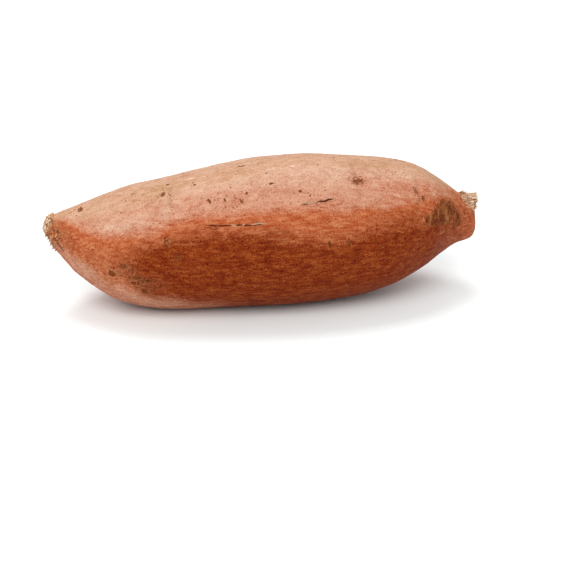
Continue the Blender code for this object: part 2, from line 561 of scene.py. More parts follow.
# %% Refine the net near the marks
def mesh_points(mesh):
    points = np.empty(len(mesh.vertices) * 3)
    mesh.vertices.foreach_get("co", points)
    return points.reshape(-1, 3)


def refine(mesh, wanted, cuts):
    """Cuts the edges of every face that has a point where wanted is true."""
    work = bmesh.new()
    work.from_mesh(mesh)
    work.verts.ensure_lookup_table()
    marked = [face for face in work.faces if any(wanted[v.index] for v in face.verts)]
    edges = {edge for face in marked for edge in face.edges}
    bmesh.ops.subdivide_edges(work, edges=list(edges), cuts=cuts, use_grid_fill=True)
    work.to_mesh(mesh)
    work.free()


CRACK_MARGIN = 1.6  # mm of skin beside a crack that is refined with it
TRACE = 0.02  # a number above this says that a mark is near


def near_marks(points, places):
    wide = strongest(
        split(places, path, width + CRACK_MARGIN, seed)
        for path, width, seed in DARK_SPLITS + PALE_SPLITS
    )
    tail, stalk = torn_ends(points)
    strokes = patches(places, STROKES, 1.0)
    return strongest((wide, tail, stalk, strokes)) > TRACE


first_points = mesh_points(skin_mesh)
refine(skin_mesh, near_marks(first_points, skin_places(first_points)), 2)
fine_points = mesh_points(skin_mesh)
fine_places = skin_places(fine_points)
close = strongest(
    split(fine_places, path, width + 0.5, seed) for path, width, seed in DARK_SPLITS
)
refine(skin_mesh, close > 0.05, 1)
print("faces after refining:", len(skin_mesh.polygons))

# %% [markdown]
# ## Shades of the skin
#
# The skin isn't one colour. Where it was rubbed or dry it is pale and pinkish, lower down it is
# orange-red, and in the hollows and on the belly it deepens to a dark copper. That copper is partly
# the skin's own colour and partly painted shade, and a few paler patches low by the table are
# painted light thrown up from the floor. Three more numbers on each point hold that: redness,
# depth and gold. They come from soft patches laid over one rule for the whole root, as a painter
# would block in the shades.

# %% Block in the shades
NEAR_EDGE = (  # where the pale top turns red on the near side: mm along, degrees round
    (-98, 122), (-92, 126), (-85, 137), (-78, 142), (-66, 148), (-54, 151), (-46, 149),
    (-40, 144), (-30, 142), (-15, 146), (0, 148), (10, 149), (30, 153), (42, 147), (60, 145),
    (68, 147), (78, 139), (98, 124),
)
FAR_EDGE = (  # and on the far side
    (-98, 50), (-84, 40), (-60, 34), (-38, 38), (-12, 30), (16, 36), (40, 42), (66, 34), (98, 30),
)
REDDER = (  # mm along, degrees round, length, width, turn, strength, as in the next tables
    (14, 152, 40, 14, 0, 0.22),
    (-56, 118, 20, 12, 0, 0.16),
    (28, 122, 40, 12, 0, 0.06),
    (66, 126, 34, 18, 0, 0.17),
    (40, 116, 8, 12, 0, 0.22),
    (-91, 138, 10, 7, 0, 0.20),
    (70, 132, 5, 14, 0, 0.20),
    (91, 122, 14, 12, 0, 0.50),
    (-51, 143, 16, 8, 0, 0.25),
    (-66, 60, 30, 12, 0, 0.30),
    (20, 66, 50, 10, 0, 0.25),
)
# paler skin; the patches low near the table under the tail half are painted light thrown up from the floor
PALER_AND_LIT = (
    (-50, 137, 20, 9, -14, 0.10),
    (-46, 128, 4, 12, 8, 0.30),
    (-64, 139, 24, 7, -10, 0.25),
    (4, 116, 34, 7, 0, 0.30),
    (58, 112, 34, 7, 0, 0.30),
    (-66, 212, 46, 14, 0, 0.45),
    (-84, 196, 18, 9, 0, 0.40),
    (86, 128, 10, 5, 0, 0.25),
    (52, 147, 12, 3, -10, 0.20),
    (-42, 236, 60, 20, 0, 0.50),
    (-20, 12, 40, 9, 6, 0.35),
    (62, 352, 26, 9, 0, 0.35),
    (20, 300, 60, 14, 0, 0.30),
)
# patches of painted shade and deeper skin colour on the lower side
DEEPER_AND_SHADED = (  # a strength below 0 makes the skin less deep
    (-48, 165, 20, 12, 0, 0.45),
    (-38, 184, 30, 10, 0, 0.25),
    (22, 160, 44, 9, 0, -0.22),
    (-92, 175, 12, 14, 0, 0.26),
    (-14, 163, 30, 8, 0, 0.22),
    (-50, 238, 54, 24, 0, -0.75),
)
GOLDEN = (
    (47, 103, 20, 6, 0, 0.8),
    (-80, 112, 26, 11, 0, 0.40),
    (-58, 116, 24, 12, 0, 0.28),
    (-46, 104, 26, 9, 0, 0.55),
    (-14, 106, 30, 9, 0, 0.40),
    (76, 104, 26, 12, 0, 0.60),
    (-93, 160, 10, 12, 0, 0.60),
    (-72, 186, 20, 12, 0, 0.55),
    (-56, 196, 14, 8, 0, 0.45),
    (84, 146, 12, 10, 0, 0.5),
    (30, 40, 30, 12, 0, 0.5),
    (-30, 350, 30, 14, 0, 0.5),
    (-70, 40, 26, 12, 0, 0.5),
)


def painted(places, table):
    """The sum of soft patches."""
    return sum(oval(places, *row[:5], 0.9) * row[5] for row in table)


def below_edge(places):
    """Degrees below the line where the pale top turns red, on either side of the root."""
    along, angle, _ = places
    rise = turned(angle, 90)
    near = rise + 90 - np.interp(along, *zip(*NEAR_EDGE))
    far = np.interp(along, *zip(*FAR_EDGE)) - (rise + 90)
    return np.where(rise > 0, near, far)


def shade_numbers(places):
    """Redness, depth and gold of the skin at each point. Depth is partly painted shade."""
    along, angle, _ = places
    below = below_edge(places)
    soft = 10 + 9 * blend(along, -62, -80)
    red = 0.32 * blend(below, -36, -12) + 0.68 * blend(below, -soft, soft)
    # paler skin and painted floor light take away red and depth
    pale_and_lit = painted(places, PALER_AND_LIT)
    # depth: a deeper skin colour and painted shade, growing further down the sides
    depth = (0.45 * blend(below, 2, 16) + 0.65 * blend(below, 12, 34)) * blend(along, -74, -50)
    depth = depth * blend(along, 112, 60)
    gold = painted(places, GOLDEN) + 0.36 * blend(np.abs(turned(angle, 90)), 20, 4)
    return (
        np.clip(red + painted(places, REDDER) - pale_and_lit, 0, 1),
        np.clip(depth + painted(places, DEEPER_AND_SHADED) - pale_and_lit * 0.7, 0, 1),
        np.clip(gold, 0, 1),
    )


def shreds_at(places):
    """1 where scraps of dead skin cling under the tail and round the rim of the stump."""
    along, angle, _ = places
    under_tail = blend(along, -92.5, -95.5) * blend(np.abs(turned(angle, 190)), 62, 34)
    tail_rim = 0.6 * blend(np.abs(along + 96.2), 1.6, 0.6)
    stump_rim = 0.5 * blend(np.abs(along - 93.5), 1.8, 0.6) * blend(np.abs(turned(angle, 90)), 70, 50)
    return strongest((under_tail, tail_rim, stump_rim))


# %% Write the numbers on the net
def write_numbers(mesh, numbers):
    for name, values in numbers.items():
        attribute = mesh.attributes.new(name, "FLOAT", "POINT")
        attribute.data.foreach_set("value", np.ascontiguousarray(values, dtype=np.float32))


points = mesh_points(skin_mesh)
places = skin_places(points)
tail_torn, stalk_torn = torn_ends(points)
red, depth, gold = shade_numbers(places)
write_numbers(
    skin_mesh,
    {
        "crack": cracks_at(places),
        "cork": cork_at(places),
        "dent": dents_at(places),
        "crease": creases_at(places),
        "scab": np.maximum(patches(places, SCABS, 0.35), patches(places, STROKES, 0.6) * STROKE_STRENGTH),
        "smudge_and_shade": patches(places, SMUDGES_AND_DENT_SHADE, 0.8),
        "painted_highlight": patches(places, PAINTED_HIGHLIGHTS, 0.6),
        "torn": np.maximum(tail_torn, stalk_torn),
        "red": red,
        "depth": depth,
        "gold": gold,
        "shred": shreds_at(places),
    },
)
print("numbers on each point:", [a.name for a in skin_mesh.attributes if a.data_type == "FLOAT"])

# %% [markdown]
# ## Relief with Geometry Nodes
#
# The relief follows rules: broad lumps everywhere, fine furrows that run lengthwise, and cracks,
# dents and creases where the numbers say. Sculpting it by hand would freeze it, so a node tree
# adds the heights up and pushes each point out or in along the skin's own direction. Its sizes
# are named inputs. It stays off the small flat that the root rests on, and nothing goes below
# the table.


# %% Helpers for node trees
def add_node(tree, kind, inputs=None, **settings):
    """Adds a node. Inputs maps a socket's name or number to a value or to another node's socket."""
    node = tree.nodes.new(kind)
    for name, value in settings.items():
        setattr(node, name, value)
    for key, value in (inputs or {}).items():
        if isinstance(value, bpy.types.NodeSocket):
            tree.links.new(value, node.inputs[key])
        else:
            node.inputs[key].default_value = value
    return node


def maths(tree, operation, a, b=0.0, c=0.0, clamp=False):
    inputs = {0: a, 1: b, 2: c} if operation == "MULTIPLY_ADD" else {0: a, 1: b}
    return add_node(tree, "ShaderNodeMath", inputs, operation=operation, use_clamp=clamp).outputs[0]


def times(tree, a, b):
    return maths(tree, "MULTIPLY", a, b)


def total(tree, values):
    result = values[0]
    for value in values[1:]:
        result = maths(tree, "ADD", result, value)
    return result


def ranged(tree, value, low_in, high_in, low_out=0.0, high_out=1.0, smooth=True):
    inputs = {0: value, 1: low_in, 2: high_in, 3: low_out, 4: high_out}
    kind = "SMOOTHSTEP" if smooth else "LINEAR"
    return add_node(tree, "ShaderNodeMapRange", inputs, interpolation_type=kind).outputs[0]


def stretched(tree, vector, factors):
    """The vector with each part multiplied, which stretches a pattern along the small ones."""
    inputs = {0: vector, 1: factors}
    return add_node(tree, "ShaderNodeVectorMath", inputs, operation="MULTIPLY").outputs[0]


def noise(tree, vector, scale, detail=2.0, roughness=0.5, seed=0.0):
    inputs = {"Vector": vector, "W": seed, "Scale": scale, "Detail": detail, "Roughness": roughness}
    return add_node(tree, "ShaderNodeTexNoise", inputs, noise_dimensions="4D").outputs[0]


def stored(tree, name, kind="FLOAT"):
    """A number or a vector that was written on the points, inside a Geometry Nodes tree."""
    node = add_node(tree, "GeometryNodeInputNamedAttribute", {"Name": name}, data_type=kind)
    return node.outputs["Attribute"]


def chance(tree, least, most, seed, shift):
    """A random number for each point, from least to most. Each shift gives other numbers."""
    node = add_node(tree, "FunctionNodeRandomValue", data_type="FLOAT")
    wanted = {"Min": least, "Max": most, "Seed": maths(tree, "ADD", seed, shift)}
    for title, value in wanted.items():
        socket = next(each for each in node.inputs if each.enabled and each.name == title)
        if isinstance(value, bpy.types.NodeSocket):
            tree.links.new(value, socket)
        else:
            socket.default_value = value
    return next(socket for socket in node.outputs if socket.enabled)


def new_tree(name, inputs):
    """A Geometry Nodes tree with named inputs, and its start and end nodes."""
    tree = bpy.data.node_groups.new(name, "GeometryNodeTree")
    tree.interface.new_socket("Geometry", in_out="INPUT", socket_type="NodeSocketGeometry")
    tree.interface.new_socket("Geometry", in_out="OUTPUT", socket_type="NodeSocketGeometry")
    for title, value in inputs.items():
        kind = "NodeSocketInt" if isinstance(value, int) else "NodeSocketFloat"
        socket = tree.interface.new_socket(title, in_out="INPUT", socket_type=kind)
        socket.default_value = value
    return tree, tree.nodes.new("NodeGroupInput"), tree.nodes.new("NodeGroupOutput")


def finished(tree, end, geometry, finish):
    """Ends a tree: instances become real points and faces, and all of them take the finish."""
    real = add_node(tree, "GeometryNodeRealizeInstances", {0: geometry})
    inputs = {"Geometry": real.outputs[0], "Material": finish}
    dressed = add_node(tree, "GeometryNodeSetMaterial", inputs)
    tree.links.new(dressed.outputs[0], end.inputs[0])
    return tree


def grown(source, tree, name, settings):
    """The plain mesh object that a tree makes from source, with its inputs set by identifier."""
    modifier = source.modifiers.new(tree.name, "NODES")
    modifier.node_group = tree
    for item in tree.interface.items_tree:
        if item.item_type == "SOCKET" and item.in_out == "INPUT" and item.name in settings:
            modifier[item.identifier] = settings[item.name]
    bpy.context.view_layer.update()
    evaluated = source.evaluated_get(bpy.context.evaluated_depsgraph_get())
    mesh = bpy.data.meshes.new_from_object(evaluated)
    source.modifiers.remove(modifier)
    mesh.name = name
    print(name, "triangles:", sum(len(face.vertices) - 2 for face in mesh.polygons))
    return link(bpy.data.objects.new(name, mesh))


# %% The relief tree
RELIEF = {
    "Lump height": 0.55 * MM,
    "Lumps per metre": 42.0,
    "Ripple height": 0.16 * MM,
    "Furrow height": 0.13 * MM,
    "Furrows per metre": 420.0,
    "Grain height": 0.05 * MM,
    "Crack depth": 0.9 * MM,
    "Cork height": 0.22 * MM,
    "Dent depth": 0.8 * MM,
    "Crease depth": 0.28 * MM,
    "Scab height": 0.14 * MM,
    "Torn roughness": 0.9 * MM,
    "Seed": 7,
}


def relief_tree(finish):
    tree, start, end = new_tree("skin_relief", RELIEF)
    sizes, seed = start.outputs, start.outputs["Seed"]
    place = add_node(tree, "GeometryNodeInputPosition").outputs[0]
    parts = add_node(tree, "ShaderNodeSeparateXYZ", {0: place}).outputs

    def number(name):
        return stored(tree, name)

    def swing(value):
        return ranged(tree, value, 0.25, 0.75, -1.0, 1.0, smooth=False)

    def height(title, *shares):
        result = sizes[title]
        for share in shares:
            result = times(tree, result, share)
        return result

    broad = stretched(tree, place, (0.6, 1, 1))
    lumps = noise(tree, broad, sizes["Lumps per metre"], 1.0, 0.4, seed)
    ripples = noise(tree, stretched(tree, place, (0.45, 1, 1)), 150.0, 2.0, 0.5, seed)
    long = stretched(tree, place, (0.09, 1, 1))
    furrows = noise(tree, long, sizes["Furrows per metre"], 2.0, 0.55, seed)
    grain = noise(tree, place, 900.0, 2.0, 0.6, seed)
    shreds = noise(tree, place, 620.0, 3.0, 0.65, seed)
    intact = maths(tree, "SUBTRACT", 1.0, number("torn"))
    depth_of_furrow = ranged(tree, noise(tree, place, 55.0, 1.0, 0.5, seed), 0.35, 0.65, 0.25, 1.0)
    clear_of_table = ranged(tree, parts["Z"], 0.2 * MM, 4.0 * MM)

    out = total(
        tree,
        [
            height("Lump height", swing(lumps)),
            height("Ripple height", swing(ripples)),
            height("Furrow height", swing(furrows), depth_of_furrow, intact),
            height("Grain height", swing(grain)),
            height("Cork height", number("cork")),
            height("Scab height", number("scab"), ranged(tree, grain, 0.4, 0.6, -0.6, 1.0)),
            height("Torn roughness", number("torn"), swing(shreds)),
            times(tree, height("Crack depth", number("crack")), -1.0),
            times(tree, height("Dent depth", number("dent")), -1.0),
            times(tree, height("Crease depth", number("crease")), -1.0),
        ],
    )
    out = times(tree, out, clear_of_table)
    inputs = {0: add_node(tree, "GeometryNodeInputNormal").outputs[0], "Scale": out}
    push = add_node(tree, "ShaderNodeVectorMath", inputs, operation="SCALE").outputs[0]
    moved = add_node(tree, "GeometryNodeSetPosition", {"Geometry": sizes[0], "Offset": push})
    above = maths(tree, "MAXIMUM", parts["Z"], 0.0)
    lifted = add_node(tree, "ShaderNodeCombineXYZ", {0: parts["X"], 1: parts["Y"], 2: above})
    inputs = {"Geometry": moved.outputs[0], "Position": lifted.outputs[0]}
    kept_up = add_node(tree, "GeometryNodeSetPosition", inputs)
    return finished(tree, end, kept_up.outputs[0], finish)

# %% [markdown]
# ## The finish of the skin
#
# Seen closely, the skin is matt and a little dusty, with a fine grain, lengthwise streaks, many
# small dark pores, and cork or scab where it healed. One material holds all of that. The numbers
# on the points choose the broad shade, and noise in the root's own coordinates, stretched along
# it for the streaks, adds what is too small for the net.

# %% Helpers for finishes
def rgba(red, green, blue):
    return (red, green, blue, 1.0)


def mixed(tree, share, a, b):
    """Colour a where share is 0 and colour b where it is 1."""
    return add_node(tree, "ShaderNodeMix", {0: share, 6: a, 7: b}, data_type="RGBA").outputs[2]


def steeped(tree, colour, strength):
    """The colour as a thicker or thinner layer of the same pigment: over 1 is darker and richer."""
    return add_node(tree, "ShaderNodeGamma", {0: colour, 1: strength}).outputs[0]


def swung(tree, value, amount):
    """A noise centred on 0, times an amount."""
    return times(tree, maths(tree, "SUBTRACT", value, 0.5), amount)


def new_finish(name):
    """A material with an empty Principled shader, and the object's own coordinates."""
    finish = bpy.data.materials.new(name)
    finish.use_nodes = True
    tree = finish.node_tree
    shader = tree.nodes["Principled BSDF"]
    place = add_node(tree, "ShaderNodeTexCoord").outputs["Object"]
    return finish, tree, shader, place


def reader(tree):
    """A function that reads a number from the points."""

    def read(name):
        return add_node(tree, "ShaderNodeAttribute", attribute_name=name).outputs["Fac"]

    return read


# %% Skin material
PALE_ROSE = rgba(0.515, 0.300, 0.205)
ORANGE_RED = rgba(0.39, 0.100, 0.035)
# partly the skin's own dark copper and partly painted shade for the lower side
DARK_COPPER_AND_SHADE = rgba(0.195, 0.028, 0.003)
DRY_GOLD = rgba(0.45, 0.265, 0.140)
PORE_BROWN = rgba(0.190, 0.070, 0.025)
SCAB_BROWN = rgba(0.175, 0.048, 0.010)
SMUDGE_AND_SHADE_BROWN = rgba(0.150, 0.045, 0.012)
CORK_CREAM = rgba(0.37, 0.21, 0.13)
CRACK_DARK = rgba(0.125, 0.035, 0.012)
TORN_STRAW = rgba(0.58, 0.40, 0.26)
TORN_BROWN = rgba(0.30, 0.12, 0.050)


def skin_finish():
    finish, tree, shader, place = new_finish("root_skin")
    read = reader(tree)
    cloud = noise(tree, stretched(tree, place, (0.7, 1, 1)), 70.0, 4.0, 0.6, 1.0)
    mottle = noise(tree, stretched(tree, place, (0.6, 1, 1)), 360.0, 4.0, 0.65, 2.0)
    speckle = noise(tree, place, 1500.0, 2.0, 0.6, 3.0)
    streak = noise(tree, stretched(tree, place, (0.20, 1.0, 1.0)), 780.0, 4.0, 0.68, 4.0)
    grain = maths(tree, "ADD", times(tree, mottle, 0.45), times(tree, speckle, 0.55))

    def drifting(name, amount):
        """A number that drifts with the clouds and the mottle, for shades without an edge."""
        drift = maths(tree, "ADD", swung(tree, cloud, amount), swung(tree, grain, amount * 0.6))
        return maths(tree, "MULTIPLY_ADD", read(name), 1.25, drift, clamp=True)

    def grainy(name, reach_out, sharp):
        """A number's patch broken up by the grain: solid where it is 1, specks where it is low."""
        shaken = maths(tree, "ADD", read(name), swung(tree, grain, 4.6))
        patch = ranged(tree, shaken, reach_out, reach_out + sharp)
        return times(tree, patch, ranged(tree, read(name), 0.02, 0.30))

    redness = drifting("red", 0.9)
    colour = mixed(tree, redness, PALE_ROSE, ORANGE_RED)
    # depth lays a deeper colour and painted shade over the lower skin
    deepness_and_shade = drifting("depth", 0.65)
    colour = mixed(tree, deepness_and_shade, colour, DARK_COPPER_AND_SHADE)
    golden = times(tree, read("gold"), ranged(tree, mottle, 0.36, 0.62, 0.2, 1.0))
    golden = times(tree, golden, ranged(tree, redness, 0.15, 0.85, 1.0, 0.45))
    colour = mixed(tree, golden, colour, DRY_GOLD)
    streaks = times(tree, swung(tree, streak, 1.05), ranged(tree, redness, 0.2, 0.8, 0.25, 1.4))
    browned = times(tree, read("gold"), 0.14)
    pits = ranged(tree, speckle, 0.54, 0.72, 0.0, 0.36)
    pits = times(tree, pits, ranged(tree, deepness_and_shade, 0.2, 0.8, 1.0, 2.2))
    # painted highlight: the skin is made paler where light would shine on it
    highlight_lift = times(tree, read("painted_highlight"), ranged(tree, grain, 0.40, 0.56, 0.50, 0.15))
    grains = [swung(tree, speckle, 0.62), swung(tree, mottle, 0.65)]
    layer = total(tree, [*grains, streaks, pits, browned, 0.98])
    colour = steeped(tree, colour, maths(tree, "SUBTRACT", maths(tree, "MAXIMUM", layer, 0.74), highlight_lift))

    cells = add_node(tree, "ShaderNodeTexVoronoi", {"Vector": place, "Scale": 300.0, "Randomness": 1.0})
    size = add_node(tree, "ShaderNodeSeparateColor", {0: cells.outputs["Color"]}).outputs[0]
    radius = ranged(tree, size, 0.55, 1.0, 0.02, 0.17, smooth=False)
    near = maths(tree, "SUBTRACT", radius, cells.outputs["Distance"])
    pore = ranged(tree, maths(tree, "ADD", near, swung(tree, speckle, 0.16)), 0.0, 0.07)
    colour = mixed(tree, times(tree, pore, 0.70), colour, PORE_BROWN)

    # smudges: soil stains, and painted shade in the dents
    smudge_and_shade_colour = steeped(tree, SMUDGE_AND_SHADE_BROWN, ranged(tree, grain, 0.38, 0.62, 0.62, 1.35, smooth=False))
    colour = mixed(tree, times(tree, grainy("smudge_and_shade", 0.42, 0.6), 0.92), colour, smudge_and_shade_colour)
    # painted shade: the creases are darkened a little towards pore brown
    colour = mixed(tree, times(tree, read("crease"), 0.30), colour, PORE_BROWN)
    scab = grainy("scab", 0.44, 0.38)
    scab_streak = noise(tree, stretched(tree, place, (1.0, 0.35, 0.35)), 520.0, 3.0, 0.6, 6.0)
    scab_colour = steeped(tree, SCAB_BROWN, ranged(tree, scab_streak, 0.36, 0.64, 1.50, 0.68, smooth=False))
    colour = mixed(tree, times(tree, scab, 0.9), colour, scab_colour)
    colour = mixed(tree, ranged(tree, read("cork"), 0.10, 0.45), colour, CORK_CREAM)
    crack = ranged(tree, read("crack"), 0.06, 0.40)
    colour = mixed(tree, crack, colour, CRACK_DARK)

    fibres = noise(tree, stretched(tree, place, (0.5, 1, 0.5)), 900.0, 3.0, 0.6, 5.0)
    torn_colour = mixed(tree, ranged(tree, fibres, 0.50, 0.62), TORN_STRAW, TORN_BROWN)
    torn = ranged(tree, maths(tree, "ADD", read("torn"), swung(tree, grain, 0.8)), 0.4, 0.6)
    colour = mixed(tree, torn, colour, torn_colour)
    tree.links.new(colour, shader.inputs["Base Color"])

    rough = ranged(tree, mottle, 0.3, 0.7, 0.50, 0.66, smooth=False)
    rough = maths(tree, "MAXIMUM", rough, times(tree, maths(tree, "MAXIMUM", torn, crack), 0.85))
    tree.links.new(rough, shader.inputs["Roughness"])

    height = total(
        tree,
        [
            times(tree, speckle, 0.08 * MM),
            times(tree, mottle, 0.16 * MM),
            times(tree, streak, 0.12 * MM),
            times(tree, pore, -0.22 * MM),
            times(tree, times(tree, torn, fibres), 1.2 * MM),
            times(tree, scab, 0.10 * MM),
        ],
    )
    bump = add_node(tree, "ShaderNodeBump", {"Strength": 0.8, "Distance": 1.0, "Height": height})
    tree.links.new(bump.outputs[0], shader.inputs["Normal"])
    shader.inputs["Specular IOR Level"].default_value = 0.06
    shader.inputs["Subsurface Weight"].default_value = 0.05
    shader.inputs["Subsurface Radius"].default_value = (1.6 * MM, 0.7 * MM, 0.4 * MM)
    shader.inputs["Subsurface Scale"].default_value = 1.0
    return finish


# %% Grow the skin
net_object = link(bpy.data.objects.new("skin_net", skin_mesh))
skin = grown(net_object, relief_tree(skin_finish()), "sweet_potato_skin", RELIEF)
bpy.data.objects.remove(net_object)
skin.data.shade_smooth()
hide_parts("sweet_potato")
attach(skin, "root")
print("skin is dressed")

# %% [markdown]
# ## Torn fibres
#
# Roots are full of tough strands, and where one is torn from the plant they dry to a matted tuft
# over the break. Each strand is a tapered, slightly bent cone with twenty faces. Geometry Nodes
# scatter them where a number says that the tissue is torn, and lay them down over the tail's
# torn face and out along the stump, half sunk so that none of them floats. The same tree, with
# longer and flatter strands, makes the shreds of dead skin under the tail.

# %% The fibre tree
FULL_TURN = 6.28  # radians, near enough for a random roll
FIBRES = {
    "Strands per square metre": 1.9e6,
    "Strand length": 2.3 * MM,
    "Strand radius": 0.34 * MM,
    "Strand flatness": 0.55,
    "Spread": 0.22,
    "Sunk": 0.45,
    "Seed": 3,
}


def rolled(tree, rotation, angle):
    """The rotation after a roll of angle radians round the instance's own upright axis."""
    roll = add_node(tree, "ShaderNodeCombineXYZ", {2: angle})
    spin = add_node(tree, "FunctionNodeRotateRotation", {0: rotation}, rotation_space="LOCAL")
    tree.links.new(roll.outputs[0], spin.inputs[1])
    return spin.outputs[0]


def fibre_tree(name, zone, finish):
    """Strands on a source mesh, as dense as the number zone says, laid along the vector lay."""
    tree, start, end = new_tree(name, FIBRES)
    sizes, seed = start.outputs, start.outputs["Seed"]
    length, radius = sizes["Strand length"], sizes["Strand radius"]
    density = times(tree, stored(tree, zone), sizes["Strands per square metre"])
    inputs = {0: sizes[0], "Density": density, "Seed": seed}
    scatter = add_node(tree, "GeometryNodeDistributePointsOnFaces", inputs)
    cone = add_node(
        tree,
        "GeometryNodeMeshCone",
        {
            "Vertices": 6,
            "Side Segments": 3,
            "Radius Top": times(tree, radius, 0.25),
            "Radius Bottom": radius,
            "Depth": length,
        },
    )
    place = add_node(tree, "GeometryNodeInputPosition").outputs[0]
    parts = add_node(tree, "ShaderNodeSeparateXYZ", {0: place})
    share = maths(tree, "DIVIDE", parts.outputs["Z"], length)
    bend = times(tree, times(tree, share, share), times(tree, length, 0.22))
    sink = times(tree, times(tree, length, sizes["Sunk"]), -1.0)
    offset = add_node(tree, "ShaderNodeCombineXYZ", {0: bend, 2: sink})
    inputs = {"Geometry": cone.outputs[0], "Offset": offset.outputs[0]}
    bent = add_node(tree, "GeometryNodeSetPosition", inputs)

    inputs = {axis: chance(tree, -1.0, 1.0, seed, 11 + axis) for axis in range(3)}
    stray = add_node(tree, "ShaderNodeCombineXYZ", inputs)
    inputs = {0: stray.outputs[0], "Scale": sizes["Spread"]}
    strayed = add_node(tree, "ShaderNodeVectorMath", inputs, operation="SCALE")
    inputs = {0: stored(tree, "lay", "FLOAT_VECTOR"), 1: strayed.outputs[0]}
    heading = add_node(tree, "ShaderNodeVectorMath", inputs, operation="ADD")
    inputs = {"Vector": heading.outputs[0]}
    turn = add_node(tree, "FunctionNodeAlignRotationToVector", inputs, axis="Z")
    spin = rolled(tree, turn.outputs[0], chance(tree, 0.0, FULL_TURN, seed, 14))
    wide = chance(tree, 0.6, 1.35, seed, 15)
    thick = times(tree, wide, sizes["Strand flatness"])
    inputs = {0: wide, 1: thick, 2: chance(tree, 0.45, 1.3, seed, 16)}
    size = add_node(tree, "ShaderNodeCombineXYZ", inputs)
    strands = add_node(
        tree,
        "GeometryNodeInstanceOnPoints",
        {
            "Points": scatter.outputs["Points"],
            "Instance": bent.outputs[0],
            "Rotation": spin,
            "Scale": size.outputs[0],
        },
    )
    shaded = add_node(
        tree,
        "GeometryNodeStoreNamedAttribute",
        {"Geometry": strands.outputs[0], "Name": "shade", "Value": chance(tree, 0.0, 1.0, seed, 17)},
        data_type="FLOAT",
        domain="INSTANCE",
    )
    return finished(tree, end, shaded.outputs[0], finish)


# %% Fibre finish
def fibre_finish(name, light, middle, dark):
    """Dry tissue: a shade for each strand, darker patches and a fine grain.

    Specks have no shade written on them, so they all start from the light one.
    """
    finish, tree, shader, place = new_finish(name)
    shade = reader(tree)("shade")
    blotch = noise(tree, place, 420.0, 2.0, 0.5, 8.0)
    grain = noise(tree, place, 2600.0, 3.0, 0.6, 9.0)
    colour = mixed(tree, ranged(tree, shade, 0.25, 0.75), light, middle)
    patches_of_brown = ranged(tree, blotch, 0.50, 0.62)
    brown = maths(tree, "ADD", ranged(tree, shade, 0.72, 0.95), patches_of_brown, clamp=True)
    colour = mixed(tree, brown, colour, dark)
    colour = steeped(tree, colour, ranged(tree, grain, 0.3, 0.7, 1.25, 0.80, smooth=False))
    tree.links.new(colour, shader.inputs["Base Color"])
    tree.links.new(ranged(tree, grain, 0.3, 0.7, 0.55, 0.75), shader.inputs["Roughness"])
    height = times(tree, grain, 0.1 * MM)
    bump = add_node(tree, "ShaderNodeBump", {"Strength": 0.6, "Distance": 1.0, "Height": height})
    tree.links.new(bump.outputs[0], shader.inputs["Normal"])
    shader.inputs["Specular IOR Level"].default_value = 0.12
    return finish


# %% Grow the fibres and the shreds
TAIL_PULL = (-0.20, -0.10, -0.95)
STALK_PULL = (0.95, -0.10, 0.20)
STAND_UP = 0.18  # how far the skin's own direction lifts a strand


def write_lay(mesh):
    """The direction that strands lie in: down over the tail's torn face, and out along the stump."""
    points = mesh_points(mesh)
    pull = np.where(points[:, :1] < 0, TAIL_PULL, STALK_PULL)
    normals = np.array([vertex.normal for vertex in mesh.vertices])
    lay = mesh.attributes.new("lay", "FLOAT_VECTOR", "POINT")
    lay.data.foreach_set("vector", (pull + normals * STAND_UP).astype(np.float32).ravel())


def strands_on(source, name, zone, finish, settings):
    strands = grown(source, fibre_tree(name, zone, finish), name, {**FIBRES, **settings})
    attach(strands, "root")


DRY_STRAW = (rgba(0.84, 0.64, 0.46), rgba(0.56, 0.36, 0.22), rgba(0.24, 0.085, 0.032))
DEAD_SKIN = (rgba(0.66, 0.38, 0.21), rgba(0.46, 0.22, 0.11), rgba(0.22, 0.075, 0.028))
SHREDS = {
    "Strands per square metre": 0.9e6,
    "Strand length": 2.6 * MM,
    "Strand radius": 0.42 * MM,
    "Strand flatness": 0.35,
    "Spread": 0.2,
    "Seed": 5,
}

write_lay(skin.data)
straw = fibre_finish("dry_straw", *DRY_STRAW)
bark = fibre_finish("dead_skin", *DEAD_SKIN)
strands_on(skin, "torn_fibres", "torn", straw, {})
strands_on(skin, "tail_shreds", "shred", bark, SHREDS)

# %% [markdown]
# ## Corky specks
#
# The skin breathes through pores, and many of them have healed as small brown specks of cork,
# longer than they are wide. Painted dots would have no edge that catches the light, so these are
# flattened balls of eighty faces, sunk halfway in the skin. Geometry Nodes scatter them with a
# least distance between them, lay each flat on the skin, and leave the resting side bare.

# %% Scatter the specks
SPECKS = {
    "Specks per square metre": 14000.0,
    "Least distance": 2.6 * MM,
    "Speck length": 1.05 * MM,
    "Speck width": 0.60 * MM,
    "Speck height": 0.26 * MM,
    "Seed": 12,
}


